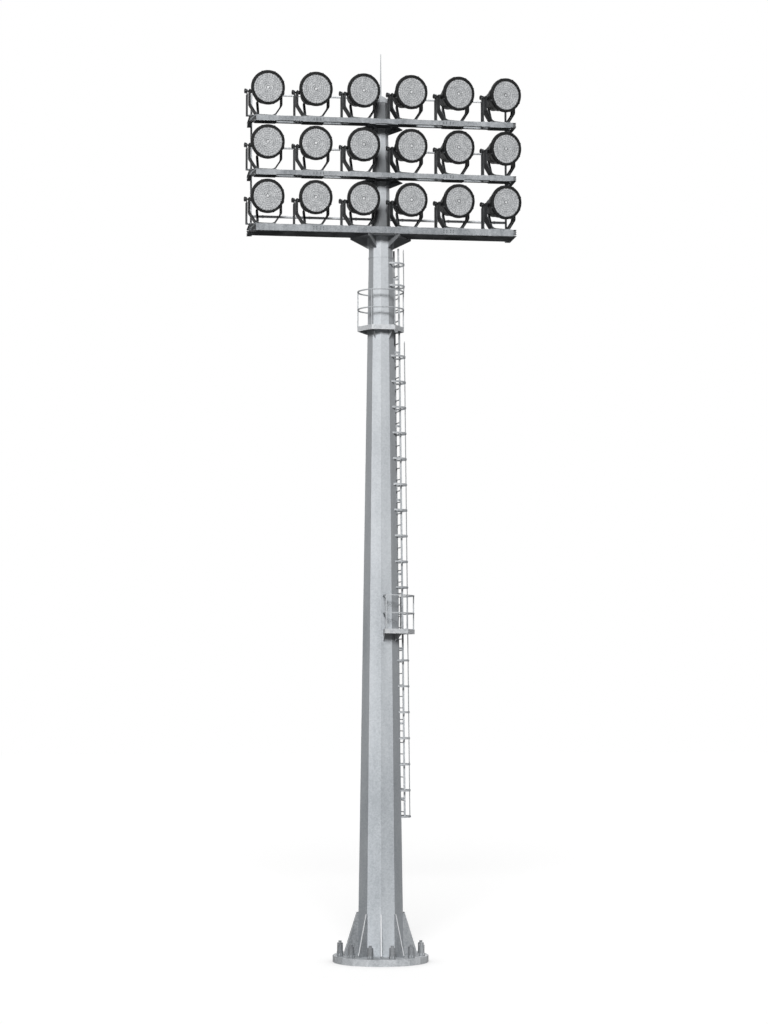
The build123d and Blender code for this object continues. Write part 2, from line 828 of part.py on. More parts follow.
with BuildPart() as cradle_form:
    with BuildSketch(Plane.XZ):
        with BuildLine():
            FilletPolyline(
                (yoke_place, yoke_rise),
                (yoke_place, yoke_shoulder),
                (yoke_base_half, yoke_foot),
                (-yoke_base_half, yoke_foot),
                (-yoke_place, yoke_shoulder),
                (-yoke_place, yoke_rise),
                radius=yoke_bend_radius,
            )
            offset(amount=yoke_thickness, side=Side.RIGHT)
        make_face()
    extrude(amount=yoke_width / 2, both=True)
    with BuildSketch(Plane.XY.offset(yoke_foot)):
        with Locations((-leg_place, 0)):
            Rectangle(leg_thickness, leg_width)
    extrude(amount=yoke_rise - yoke_foot)
    with BuildSketch(Plane.YZ):
        RegularPolygon(pin_radius + pin_clearance, fitting_sides, major_radius=False)
    extrude(amount=left_knob, both=True, mode=Mode.SUBTRACT)

for name, top, beam_height in zip(tier_names, beam_tops, beam_heights):
    with BuildPart() as tier_seats:
        for column in range(lamp_columns):
            with BuildSketch(Plane.XY.offset(top + seat)):
                with Locations((column_x(column), (front_beam[0] + rear_beam[1]) / 2)):
                    Rectangle(seat_plate_width, rear_beam[1] - front_beam[0])
                with Locations(Location((column_x(column), trunnion_y, 0), (0, 0, column_yaw(column)))):
                    Rectangle(leg_place + crossbar_overhang, crossbar_width, align=(Align.MAX, Align.CENTER))
            extrude(amount=seat_plate_thickness)
        if name != "low":
            with BuildSketch(Plane.XY.offset(top - beam_height - seat)):
                for column in clamped_columns:
                    with Locations((column_x(column), (front_beam[0] + rear_beam[1]) / 2)):
                        Rectangle(seat_plate_width, rear_beam[1] - front_beam[0])
            extrude(amount=-clamp_plate_thickness)
    finish(f"{name}_tier_seats", tier_seats.part)

    with BuildPart() as tier_cradles:
        for column in range(lamp_columns):
            with Locations(lamp_plane(column, top, 0).location):
                add(cradle_form.part)
    finish(f"{name}_tier_cradles", tier_cradles.part)

    for column in range(lamp_columns):
        aim = lamp_plane(column, top, rest_tilt).location
        with BuildPart() as housing:
            with Locations(aim):
                add(housing_form.part)
        finish(f"{name}_lamp_{column + 1}_housing", housing.part)
        with BuildPart() as lens:
            with Locations(aim):
                add(lens_form.part)
        finish(f"{name}_lamp_{column + 1}_lens", lens.part)
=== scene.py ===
import json
import math

import bmesh
import bpy
from mathutils import Matrix, Vector


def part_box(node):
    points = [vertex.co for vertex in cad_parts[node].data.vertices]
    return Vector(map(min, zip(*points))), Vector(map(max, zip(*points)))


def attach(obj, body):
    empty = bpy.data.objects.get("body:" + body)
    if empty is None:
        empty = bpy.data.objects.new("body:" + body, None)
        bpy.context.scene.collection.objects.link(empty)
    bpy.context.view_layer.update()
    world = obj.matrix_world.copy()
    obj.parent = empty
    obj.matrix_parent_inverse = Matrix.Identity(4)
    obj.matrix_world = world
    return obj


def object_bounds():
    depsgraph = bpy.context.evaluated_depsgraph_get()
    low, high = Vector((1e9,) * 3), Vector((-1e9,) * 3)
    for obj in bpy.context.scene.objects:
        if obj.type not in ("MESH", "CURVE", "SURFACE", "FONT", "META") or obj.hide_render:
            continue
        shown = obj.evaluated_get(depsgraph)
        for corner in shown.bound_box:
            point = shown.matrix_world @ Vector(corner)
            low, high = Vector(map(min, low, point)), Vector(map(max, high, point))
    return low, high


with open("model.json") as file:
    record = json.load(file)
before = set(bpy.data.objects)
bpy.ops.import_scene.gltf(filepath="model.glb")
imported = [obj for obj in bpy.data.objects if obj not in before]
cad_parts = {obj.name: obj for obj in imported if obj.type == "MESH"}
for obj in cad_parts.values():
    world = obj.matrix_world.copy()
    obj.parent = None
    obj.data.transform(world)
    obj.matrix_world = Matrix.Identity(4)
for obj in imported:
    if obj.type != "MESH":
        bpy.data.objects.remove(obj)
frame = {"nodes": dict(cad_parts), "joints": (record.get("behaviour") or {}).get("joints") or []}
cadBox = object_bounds()
print("frame loaded:", len(frame["nodes"]), "nodes")


# shader helpers: a socket that can be used in ordinary sums

class Wire:
    def __init__(self, shader, socket):
        self.shader = shader
        self.socket = socket

    def join(self, operation, first, second=None):
        settings = {"operation": operation}
        return self.shader.node("ShaderNodeMath", settings, [first, second], "Value")

    def __add__(self, other):
        return self.join("ADD", self, other)

    def __radd__(self, other):
        return self.join("ADD", other, self)

    def __sub__(self, other):
        return self.join("SUBTRACT", self, other)

    def __rsub__(self, other):
        return self.join("SUBTRACT", other, self)

    def __mul__(self, other):
        return self.join("MULTIPLY", self, other)

    def __truediv__(self, other):
        return self.join("DIVIDE", self, other)

    def __pow__(self, other):
        return self.join("POWER", self, other)

    def __abs__(self):
        return self.join("ABSOLUTE", self)


class Shader:
    def __init__(self, name):
        self.material = bpy.data.materials.new(name)
        self.material.use_nodes = True
        self.tree = self.material.node_tree
        self.tree.nodes.clear()
        self.output = self.tree.nodes.new("ShaderNodeOutputMaterial")

    def node(self, kind, settings=None, values=None, result=0):
        made = self.tree.nodes.new(kind)
        for key, value in (settings or {}).items():
            if key == "stops":
                self.setStops(made.color_ramp, value)
            else:
                setattr(made, key, value)
        pairs = enumerate(values) if isinstance(values, list) else (values or {}).items()
        for key, value in pairs:
            if value is None:
                continue
            if isinstance(value, Wire):
                self.tree.links.new(value.socket, made.inputs[key])
            else:
                made.inputs[key].default_value = value
        return Wire(self, made.outputs[result])

    def setStops(self, ramp, stops):
        while len(ramp.elements) < len(stops):
            ramp.elements.new(1)
        for element, (place, colour) in zip(ramp.elements, stops):
            element.position = place
            element.color = colour if isinstance(colour, tuple) else (colour, colour, colour, 1)

    def ramp(self, value, stops):
        return self.node("ShaderNodeValToRGB", {"stops": stops}, {"Fac": value}, "Color")

    def place(self, kind="Object"):
        return self.node("ShaderNodeTexCoord", None, None, kind)

    def scaled(self, vector, scale):
        settings = {"operation": "MULTIPLY"}
        return self.node("ShaderNodeVectorMath", settings, [vector, scale], "Vector")

    def noise(self, vector, scale, detail, roughness):
        values = {"Vector": vector, "Scale": scale, "Detail": detail, "Roughness": roughness}
        return self.node("ShaderNodeTexNoise", None, values, "Fac")

    def cells(self, vector, scale):
        return self.node("ShaderNodeTexVoronoi", None, {"Vector": vector, "Scale": scale}, "Color")

    def parts(self, vector):
        split = self.tree.nodes.new("ShaderNodeSeparateXYZ")
        self.tree.links.new(vector.socket, split.inputs[0])
        return [Wire(self, out) for out in split.outputs]

    def mix(self, factor, first, second):
        made = self.tree.nodes.new("ShaderNodeMix")
        made.data_type = "RGBA"
        # with colours, the mix node's factor is input 0, and its two colours are 6 and 7
        for index, value in ((0, factor), (6, first), (7, second)):
            if isinstance(value, Wire):
                self.tree.links.new(value.socket, made.inputs[index])
            else:
                made.inputs[index].default_value = value
        return Wire(self, made.outputs[2])

    def clamp(self, value):
        return self.node("ShaderNodeClamp", None, {"Value": value})

    def normal(self):
        return self.node("ShaderNodeNewGeometry", None, None, "Normal")

    def bump(self, height, strength, distance):
        return self.node("ShaderNodeBump", None,
                         {"Strength": strength, "Distance": distance, "Height": height}, "Normal")

    def finish(self, values):
        skin = self.node("ShaderNodeBsdfPrincipled", None, values, "BSDF")
        self.tree.links.new(skin.socket, self.output.inputs["Surface"])
        return self.material


def grey(level, warmth=0.0):
    return (level * (1 + warmth), level, level * (1 - warmth), 1)


# hot-dip zinc: soft clouds, small spangle and run marks down the steel

def zincMaterial(name, look):
    shader = Shader(name)
    place = shader.place()
    normal = shader.normal()
    upward = shader.parts(normal)[2]
    clouds = shader.noise(shader.scaled(place, look["cloudStretch"]), look["cloudScale"], 4, 0.6)
    streaks = shader.noise(shader.scaled(place, look["streakStretch"]), look["streakScale"], 3, 0.6)
    fine = shader.noise(place, look["fineScale"], 3, 0.65)
    spangle = shader.parts(shader.cells(place, look["spangleScale"]))[0]
    mask = shader.clamp((clouds - 0.5) * look["cloudShare"] + (spangle - 0.5) * look["spangleShare"]
                        + (streaks - 0.5) * look["streakShare"]
                        + (fine - 0.5) * look["fineShare"] + 0.5)
    colour = shader.ramp(mask, [(0.0, look["dark"]), (0.45, look["middle"]), (1.0, look["light"])])
    if look["paling"]:
        # paler towards the top
        height = shader.clamp(shader.parts(place)[2] / cadBox[1][2])
        colour = shader.mix(height * look["paling"], colour, look["heightTone"])
    if look["paintedTopLight"]:
        # painted light: faces that look up are painted paler, as if lit from above
        colour = shader.mix(shader.clamp(upward * 3.5) * look["paintedTopLight"], colour, look["topLightColour"])
    if look["sideShadeShare"]:
        # painted shade: faces turned away from the light's bearing are painted darker than those
        # turned to it
        turn = math.radians(look["litBearing"])
        facing = shader.node("ShaderNodeVectorMath", {"operation": "DOT_PRODUCT"},
                             [normal, (math.cos(turn), math.sin(turn), 0)], "Value")
        sideShade = shader.clamp(1 - (facing - 0.7) / 0.3)
        colour = shader.mix(sideShade * look["sideShadeShare"], colour, look["sideShade"])
    if look["armDarkening"]:
        # plates that stand out from the collar are darker than its skin
        x, y = shader.parts(place)[:2]
        apart = shader.clamp(((x * x + y * y) ** 0.5 - look["skinRadius"]) * 40)
        colour = shader.mix(apart * look["armDarkening"], colour, look["armPlateTone"])
    if look["bandShadowShare"]:
        # painted shadow of each row of lamps on the mast, in the lower part of each step
        lowest, pitch, reach = look["bands"]
        share = shader.node("ShaderNodeMath", {"operation": "FRACT"},
                            [(shader.parts(place)[2] - lowest) / pitch], "Value")
        lampShadow = shader.clamp((reach - share) * 4 + (clouds - 0.5) * 1.2)
        colour = shader.mix(lampShadow * look["bandShadowShare"], colour, look["lampShadow"])
    # painted shade: faces that look down are painted dark, and made rougher
    patchy = shader.clamp(0.85 + (clouds - 0.5) * 1.2)
    undersideShade = shader.clamp((0 - upward) * 2) * patchy * look["soffitShade"]
    colour = shader.mix(undersideShade, colour, look["undersideShade"])
    rough = shader.clamp(look["roughness"] + (fine - 0.5) * 0.25 + (spangle - 0.5) * 0.12
                         + undersideShade * 0.4)
    relief = fine * 0.6 + spangle * 0.4
    return shader.finish({
        "Base Color": colour,
        "Roughness": rough,
        "Metallic": look["metallic"],
        "Specular IOR Level": look["shine"],
        "Normal": shader.bump(relief, look["bump"], look["bumpDepth"]),
    })


zincLook = {
    "cloudScale": 1.3,
    "cloudStretch": (1, 1, 0.35),
    "cloudShare": 2.2,
    "streakScale": 7.0,
    "streakStretch": (1, 1, 0.05),
    "streakShare": 0.5,
    "fineScale": 60.0,
    "fineShare": 0.7,
    "spangleScale": 28.0,
    "spangleShare": 0.45,
    "dark": grey(0.22, -0.07),
    "middle": grey(0.32, -0.06),
    "light": grey(0.44, -0.04),
    "roughness": 0.5,
    "metallic": 0.04,
    "shine": 0.14,
    "bump": 0.25,
    "bumpDepth": 0.004,
    "paling": 0.0,
    "heightTone": grey(0.92, -0.02),
    "paintedTopLight": 0.0,
    "topLightColour": grey(0.66, -0.02),
    "sideShadeShare": 0.0,
    "litBearing": -106,          # degrees, in the part's own directions
    "sideShade": grey(0.1, -0.05),
    "armDarkening": 0.0,
    "skinRadius": 0.345,
    "armPlateTone": grey(0.16, -0.04),
    "bandShadowShare": 0.0,
    "bands": (19.15, 1.435, 0.6),    # lowest, step upwards, and share of the step that is painted with shadow
    "lampShadow": grey(0.07, -0.04),
    "soffitShade": 0.0,
    "undersideShade": grey(0.015, -0.03),
}


def shades(dark, middle, light):
    # each is a level and a warmth
    return {"dark": grey(*dark), "middle": grey(*middle), "light": grey(*light)}


# painted shade darkens the pole's facets turned away from the light
poleLook = dict(zincLook, **shades((0.36, -0.07), (0.46, -0.06), (0.56, -0.05)),
                cloudScale=0.9, streakScale=5.0, streakShare=0.7, paling=0.36, sideShadeShare=0.45)
collarLook = dict(poleLook, armDarkening=0.75)
# the mast carries a painted shadow of each row of lamps, and painted light on faces that look up
mastLook = dict(poleLook, bandShadowShare=0.75, paintedTopLight=0.6)
# the cable pipes are paler than the other zinc: painted light where the lamps shade them
conduitLitLook = dict(zincLook, **shades((0.5, -0.04), (0.64, -0.03), (0.8, -0.02)))
capLook = dict(zincLook, **shades((0.13, -0.06), (0.2, -0.05), (0.3, -0.04)),
               spangleScale=60.0, shine=0.3, metallic=0.15, roughness=0.38)
# the gussets are a darker copy of the zinc, painted shade on their sides, with painted light on
# their upward edges
gussetLook = dict(zincLook, **shades((0.17, -0.06), (0.25, -0.05), (0.34, -0.04)), paintedTopLight=0.8)
flangeLook = dict(zincLook, **shades((0.34, -0.05), (0.46, -0.04), (0.6, -0.03)))
# frame, climbing and deck zinc carry painted shade on faces that look down
frameLook = dict(zincLook, **shades((0.22, -0.06), (0.33, -0.05), (0.46, -0.04)),
                 soffitShade=0.95, shine=0.02, metallic=0.0)
climbLook = dict(zincLook, **shades((0.3, -0.05), (0.42, -0.04), (0.56, -0.03)), soffitShade=0.5)
deckLook = dict(zincLook, **shades((0.42, -0.04), (0.56, -0.03), (0.7, -0.02)), soffitShade=0.95)
shoeLook = dict(zincLook, **shades((0.015, -0.04), (0.03, -0.04), (0.07, -0.04)), metallic=0.0)
fittingLook = dict(zincLook, **shades((0.07, -0.05), (0.12, -0.05), (0.2, -0.04)),
                   spangleScale=80.0, metallic=0.2)

zinc = zincMaterial("galvanisedSteel", zincLook)
poleZinc = zincMaterial("poleZinc", poleLook)
collarZinc = zincMaterial("collarZinc", collarLook)
mastZinc = zincMaterial("mastZinc", mastLook)
conduitLitZinc = zincMaterial("conduitLitZinc", conduitLitLook)
capZinc = zincMaterial("capZinc", capLook)
gussetZinc = zincMaterial("gussetZinc", gussetLook)
flangeZinc = zincMaterial("flangeZinc", flangeLook)
frameZinc = zincMaterial("frameZinc", frameLook)
climbZinc = zincMaterial("climbZinc", climbLook)
deckZinc = zincMaterial("deckZinc", deckLook)
shoeSteel = zincMaterial("shoeSteel", shoeLook)
fittingSteel = zincMaterial("fittingSteel", fittingLook)


# black stoved enamel with chalking, and dust on top that is also painted light on the faces that
# look up

enamelLook = {
    "base": grey(0.007, -0.03),
    "chalk": grey(0.024, -0.04),
    "dustAndTopLight": grey(0.07, -0.04),
    "roughness": 0.5,
    "shine": 0.14,
}


def enamelMaterial(name, look):
    shader = Shader(name)
    place = shader.place()
    clouds = shader.noise(place, 3.0, 4, 0.6)
    fine = shader.noise(place, 90.0, 3, 0.6)
    upward = shader.parts(shader.normal())[2]
    chalk = shader.clamp((clouds - 0.42) * 2.4 + (fine - 0.5) * 0.6)
    # dust and painted light: faces that look up are paler, in patches
    dustAndTopLight = shader.clamp((upward - 0.35) * 1.5) * shader.clamp(0.35 + (clouds - 0.5) * 1.6)
    colour = shader.mix(chalk, look["base"], look["chalk"])
    colour = shader.mix(dustAndTopLight, colour, look["dustAndTopLight"])
    rough = shader.clamp(look["roughness"] + chalk * 0.18 + dustAndTopLight * 0.3)
    return shader.finish({
        "Base Color": colour,
        "Roughness": rough,
        "Specular IOR Level": look["shine"],
        "Normal": shader.bump(fine, 0.12, 0.002),
    })


cradleLook = dict(enamelLook, base=grey(0.035, -0.04), chalk=grey(0.11, -0.04),
                  dustAndTopLight=grey(0.16, -0.04))
castingLook = dict(enamelLook, chalk=grey(0.02, -0.04), roughness=0.55)

cradlePaint = enamelMaterial("cradlePaint", cradleLook)
casting = enamelMaterial("lampCasting", castingLook)


# pressed front glass: rings and spokes of small prisms over a pale reflector

glassLook = {
    "dark": grey(0.08, -0.05),
    "middle": grey(0.4, -0.03),
    "light": grey(0.84, -0.01),
    "rings": 14,
    "spokes": 30,
    "core": 0.06,            # the pale spot and the dark ring round it, as shares of the radius
    "halo": 0.13,
    "haloWidth": 0.05,
    "roughness": 0.32,
    "coat": 0.25,
}


def glassMaterial(name, look):
    shader = Shader(name)
    x, _, z = shader.parts(shader.place("Generated"))
    across = (x - 0.5) * 2
    upward = (z - 0.5) * 2
    radius = (across * across + upward * upward) ** 0.5
    turn = shader.node("ShaderNodeMath", {"operation": "ARCTAN2"}, [upward, across], "Value")
    ringWave = shader.node("ShaderNodeMath", {"operation": "SINE"},
                           [radius * (look["rings"] * math.pi)], "Value")
    spokeWave = shader.node("ShaderNodeMath", {"operation": "SINE"},
                            [turn * look["spokes"]], "Value")
    grain = shader.noise(shader.place(), 42.0, 4, 0.7)
    patches = shader.noise(shader.place(), 9.0, 3, 0.6)
    core = shader.clamp(1.6 - radius / look["core"])
    halo = shader.clamp(1 - abs(radius - look["halo"]) / look["haloWidth"])
    mask = shader.clamp(0.5 + ringWave * 0.09 + spokeWave * 0.09 * radius + (grain - 0.5) * 1.9
                        + (patches - 0.5) * 0.5 + core * 0.3 - halo * 0.3)
    colour = shader.ramp(mask, [(0.0, look["dark"]), (0.5, look["middle"]), (1.0, look["light"])])
    height = ringWave * 0.5 + spokeWave * 0.4 + grain
    return shader.finish({
        "Base Color": colour,
        "Roughness": look["roughness"],
        "Coat Weight": look["coat"],
        "Normal": shader.bump(height, 0.35, 0.006),
    })


glass = glassMaterial("prismGlass", glassLook)


# CAD nodes take their finish here

nodeFinishes = {
    "pole_shaft": poleZinc,
    "head_mast": mastZinc,
    "head_collar": collarZinc,
    "anchor_caps": capZinc,
    "base_gussets": gussetZinc,
    "base_flange": flangeZinc,
    # the rear frame takes the paler climbing zinc: painted light offsetting the shade the lamps
    # cast on its rails
    "rear_frame": climbZinc,
    "lightning_rod": climbZinc,
    "ladder": climbZinc,
    "safety_cage": climbZinc,
    "rest_guard_rail": climbZinc,
    "upper_guard_rail": climbZinc,
}
endingFinishes = {
    "_lens": glass,
    "_housing": casting,
    "_cradles": cradlePaint,
    "_platform": deckZinc,
    "_frame": frameZinc,
    "_deck": frameZinc,
    "_seats": frameZinc,
}


def finishOf(nodeName):
    if nodeName in nodeFinishes:
        return nodeFinishes[nodeName]
    for ending, material in endingFinishes.items():
        if nodeName.endswith(ending):
            return material
    return zinc


for nodeName in frame["nodes"]:
    for slot in bpy.data.objects[nodeName].material_slots:
        slot.material = finishOf(nodeName)
print("finishes set")


# mesh tools: everything below is gathered in a bmesh and turned into one piece

def addTurned(mesh, profile, steps, matrix):
    # a closed profile of (radius, height) turned round the matrix's z axis
    rings = []
    for radius, height in profile:
        if radius < 1e-6:
            rings.append([mesh.verts.new(matrix @ Vector((0, 0, height)))] * steps)
            continue
        ring = []
        for step in range(steps):
            turn = 2 * math.pi * step / steps
            spot = Vector((radius * math.cos(turn), radius * math.sin(turn), height))
            ring.append(mesh.verts.new(matrix @ spot))
        rings.append(ring)
    for low, high in zip(rings, rings[1:] + rings[:1]):
        for step in range(steps):
            after = (step + 1) % steps
            corners = []
            for corner in (low[step], low[after], high[after], high[step]):
                if corner not in corners:
                    corners.append(corner)
            if len(corners) > 2:
                mesh.faces.new(corners)


def addPrism(mesh, outline, low, high, matrix):
    # an outline in the matrix's xy plane, drawn up along z
    bottom = [mesh.verts.new(matrix @ Vector((x, y, low))) for x, y in outline]
    top = [mesh.verts.new(matrix @ Vector((x, y, high))) for x, y in outline]
    mesh.faces.new(list(reversed(bottom)))
    mesh.faces.new(top)
    for index in range(len(outline)):
        after = (index + 1) % len(outline)
        mesh.faces.new([bottom[index], bottom[after], top[after], top[index]])


def addBar(mesh, xRange, yRange, zRange, matrix, cut=0.0015):
    # a bar with its four long edges eased
    (x0, x1), (y0, y1) = xRange, yRange
    outline = [(x0 + cut, y0), (x1 - cut, y0), (x1, y0 + cut), (x1, y1 - cut),
               (x1 - cut, y1), (x0 + cut, y1), (x0, y1 - cut), (x0, y0 + cut)]
    addPrism(mesh, outline, zRange[0], zRange[1], matrix)


def along(place, direction, turn=0.0):
    # a frame at a place whose z axis points in a direction
    facing = Vector(direction).to_track_quat("Z", "Y").to_matrix().to_4x4()
    return Matrix.Translation(Vector(place)) @ facing @ Matrix.Rotation(turn, 4, "Z")


boltSkew = 0.3        # a little off square, as bolts end up


def addBolt(mesh, place, direction, size):
    # hexagon head on a washer, standing on a face; size is the head's corner radius
    frameHere = along(place, direction, boltSkew)
    head = size * 0.75
    washer = size * 0.2
    crown = size * 0.3 + head
    addTurned(mesh, [(0, 0), (size * 1.35, 0), (size * 1.35, washer), (0, washer)], 12, frameHere)
    addTurned(mesh, [(0, washer), (size, washer), (size, washer + head), (size * 0.86, crown),
                     (0, crown)], 6, frameHere)
    addTurned(mesh, [(0, crown), (size * 0.5, crown), (size * 0.42, size * 0.75 + head),
                     (0, size * 0.75 + head)], 8, frameHere)


sharpAngle = math.radians(35)


def makePiece(name, mesh, material, body="structure"):
    bmesh.ops.recalc_face_normals(mesh, faces=mesh.faces)
    for edge in mesh.edges:
        if len(edge.link_faces) == 2 and edge.calc_face_angle(0) > sharpAngle:
            edge.smooth = False
    for face in mesh.faces:
        face.smooth = True
    data = bpy.data.meshes.new(name)
    mesh.to_mesh(data)
    mesh.free()
    data.materials.append(material)
    piece = bpy.data.objects.new(name, data)
    bpy.context.collection.objects.link(piece)
    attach(piece, body)


# lamp fittings, drawn round the trunnion with the nose along -y, as the castings are

lamp = {
    "restTilt": 8.0,
    "rimCentre": 0.085,        # height of the optical axis above the trunnion
    "rimFront": -0.4215,
    "rimBack": -0.345,
    "rimRadius": 0.4445,
    "lensEdge": 0.377,
    "rimLip": 0.008,
    "rimSteps": 72,
    "clips": 8,
    "clipPlace": -0.385,
    "clipPlate": ((-0.017, 0.017), (-0.036, 0.045), (0, 0.005)),
    "clipLatch": ((-0.011, 0.011), (-0.03, 0.03), (0.005, 0.009)),
    "seamPlaces": (0.03, 0.32),
    "seamRadii": (0.3275, 0.2525),
    "seamDrops": (0.055, 0.104),
    "coverPlace": 0.38,
    "coverRadius": 0.178,
    "coverDrop": 0.112,
    "coverBolts": 8,
    "coverBoltSize": 0.009,
    "knobFaces": (-0.558, 0.502),
    "knobRibs": (0.048, 0.063),
    "ribCount": 8,
    "ribLength": 0.048,
    "ribHalf": 0.008,
    "linkPlace": -0.17,
    "linkTop": (0.3, -0.15),
    "linkFoot": (0.05, -0.565),
    "linkHalf": 0.031,
    "linkEdge": 0.005,
    "linkDepth": 0.024,
}


def lampFrame(joint):
    across = Vector(joint["axis"]).normalized()
    upright = Vector((0, 0, 1))
    backwards = upright.cross(across)
    turned = Matrix((across, backwards, upright)).transposed().to_4x4()
    return Matrix.Translation(Vector(joint["pos_m"])) @ turned


def addLampRim(mesh, base):
    centre = base @ along((0, 0, lamp["rimCentre"]), (0, 1, 0))
    front, back, lip = lamp["rimFront"], lamp["rimBack"], lamp["rimLip"]
    outer, inner = lamp["rimRadius"], lamp["lensEdge"]
    profile = [(inner, front + 0.012), (inner, front + 0.003), (inner + 0.004, front),
               (outer - lip, front), (outer - 0.002, front + 0.003), (outer, front + lip),
               (outer, back - lip), (outer + 0.003, back - lip), (outer + 0.003, back),
               (outer - 0.012, back), (outer - 0.012, front + 0.012)]
    addTurned(mesh, profile, lamp["rimSteps"], centre)


def addClips(mesh, base):
    rimCentre = Vector((0, 0, lamp["rimCentre"]))
    backwards = Vector((0, 1, 0))
    for step in range(lamp["clips"]):
        turn = 2 * math.pi * (step + 0.5) / lamp["clips"]
        outward = Vector((math.cos(turn), 0, math.sin(turn)))
        place = rimCentre + outward * (lamp["rimRadius"] + 0.001)
        place = place + Vector((0, lamp["clipPlace"], 0))
        turned = Matrix((backwards.cross(outward), backwards, outward)).transposed().to_4x4()
        clip = base @ Matrix.Translation(place) @ turned
        addBar(mesh, *lamp["clipPlate"], clip)
        addBar(mesh, *lamp["clipLatch"], clip)


def addSeamsAndCover(mesh, base):
    for place, radius, drop in zip(lamp["seamPlaces"], lamp["seamRadii"], lamp["seamDrops"]):
        band = base @ along((0, place, lamp["rimCentre"] - drop), (0, 1, 0))
        addTurned(mesh, [(radius - 0.006, -0.011), (radius + 0.004, -0.009), (radius + 0.005, 0.0),
                         (radius + 0.002, 0.009), (radius - 0.012, 0.011)], 48, band)
    cover = base @ along((0, lamp["coverPlace"], lamp["rimCentre"] - lamp["coverDrop"]), (0, 1, 0))
    radius = lamp["coverRadius"]
    addTurned(mesh, [(0, 0), (radius, 0), (radius, 0.006), (radius - 0.006, 0.011),
                     (radius - 0.04, 0.011), (radius - 0.06, 0.019), (0, 0.022)], 40, cover)
    circle = radius - 0.02
    for step in range(lamp["coverBolts"]):
        turn = 2 * math.pi * step / lamp["coverBolts"]
        spot = Vector((math.cos(turn) * circle, math.sin(turn) * circle, 0.0112))
        facing = cover.to_3x3() @ Vector((0, 0, 1))
        addBolt(mesh, cover @ spot, facing, lamp["coverBoltSize"])


def addLink(mesh, base):
    # the aiming link is a channel, with its edges folded back
    top = Vector((lamp["linkPlace"], *lamp["linkTop"]))
    bottom = Vector((lamp["linkPlace"], *lamp["linkFoot"]))
    half, edge, depth = lamp["linkHalf"], lamp["linkEdge"], lamp["linkDepth"]
    length = (bottom - top).length
    channel = base @ along(top, bottom - top)
    addBar(mesh, (-half, half), (-0.01, 0.01), (length * 0.25, length), channel, 0.003)
    for start in (-half, half - edge):
        addBar(mesh, (start, start + edge), (-depth, depth), (length * 0.3, length - 0.01), channel)


def addKnobRibs(mesh, base):
    half = lamp["ribHalf"]
    for side, face in zip((-1, 1), lamp["knobFaces"]):
        for step in range(lamp["ribCount"]):
            turned = base @ Matrix.Rotation(2 * math.pi * step / lamp["ribCount"], 4, "X")
            reach = sorted((face - side * 0.003, face - side * lamp["ribLength"]))
            addBar(mesh, reach, (-half, half), lamp["knobRibs"], turned, 0.003)


# the folded edges of the yokes and of the single legs, in the plane across the lamp

yoke = {
    "outer": 0.440,
    "shoulder": -0.360,
    "rise": 0.036,
    "footHalf": 0.245,
    "foot": -0.6532,
    "bend": 0.2,
    "edgeWidth": 0.036,
    "edgeThickness": 0.008,
    "halfDepth": 0.1,
    "legEdge": (-0.509, -0.474),
    "legHalf": 0.06,
    "legThickness": 0.005,           # half of it
    "legTop": -0.09,
    "bendSteps": 7,
}


def roundedPath(corners, radius, steps):
    points = [corners[0]]
    for before, corner, after in zip(corners, corners[1:], corners[2:]):
        towards = (before - corner).normalized()
        onwards = (after - corner).normalized()
        half = towards.angle(onwards) / 2
        reach = radius / math.tan(half)
        centre = corner + (towards + onwards).normalized() * (radius / math.sin(half))
        start = corner + towards * reach - centre
        end = corner + onwards * reach - centre
        for step in range(steps + 1):
            share = step / steps
            points.append(centre + start.normalized().slerp(end.normalized(), share) * radius)
    points.append(corners[-1])
    return points


def addYokeEdges(mesh, base):
    outer, rise, shoulder = yoke["outer"], yoke["rise"], yoke["shoulder"]
    footHalf, bottom = yoke["footHalf"], yoke["foot"]
    corners = [Vector(corner) for corner in (
        (outer, rise), (outer, shoulder), (footHalf, bottom),
        (-footHalf, bottom), (-outer, shoulder), (-outer, rise))]
    path = roundedPath(corners, yoke["bend"], yoke["bendSteps"])
    inner = []
    for index, point in enumerate(path):
        before, after = path[max(index - 1, 0)], path[min(index + 1, len(path) - 1)]
        heading = (after - before).normalized()
        inner.append(point + Vector((heading.y, -heading.x)) * yoke["edgeWidth"])
    for side in (-1, 1):
        near = side * yoke["halfDepth"]
        far = side * (yoke["halfDepth"] - yoke["edgeThickness"])
        rows = []
        for outerPoint, innerPoint in zip(path, inner):
            ends = ((outerPoint, near), (innerPoint, near), (innerPoint, far), (outerPoint, far))
            rows.append([mesh.verts.new(base @ Vector((spot.x, y, spot.y))) for spot, y in ends])
        for low, high in zip(rows, rows[1:]):
            for corner in range(4):
                after = (corner + 1) % 4
                mesh.faces.new([low[corner], low[after], high[after], high[corner]])
        mesh.faces.new(rows[0])
        mesh.faces.new(list(reversed(rows[-1])))
        place, half = side * yoke["legHalf"], yoke["legThickness"]
        addBar(mesh, yoke["legEdge"], (place - half, place + half), (bottom, yoke["legTop"]), base)


for joint in frame["joints"]:
    body = joint["child"]
    upright = lampFrame(joint)
    aimed = upright @ Matrix.Rotation(math.radians(lamp["restTilt"]), 4, "X")
    rim = bmesh.new()
    addLampRim(rim, aimed)
    makePiece(body + "_rim", rim, casting, body)
    fittings = bmesh.new()
    addClips(fittings, aimed)
    addSeamsAndCover(fittings, aimed)
    addLink(fittings, aimed)
    addKnobRibs(fittings, aimed)
    makePiece(body + "_fittings", fittings, fittingSteel, body)
print("lamps fitted")


# bolts of the seats and legs, end cleats, splice bolts and brackets of the beams, cable pipes

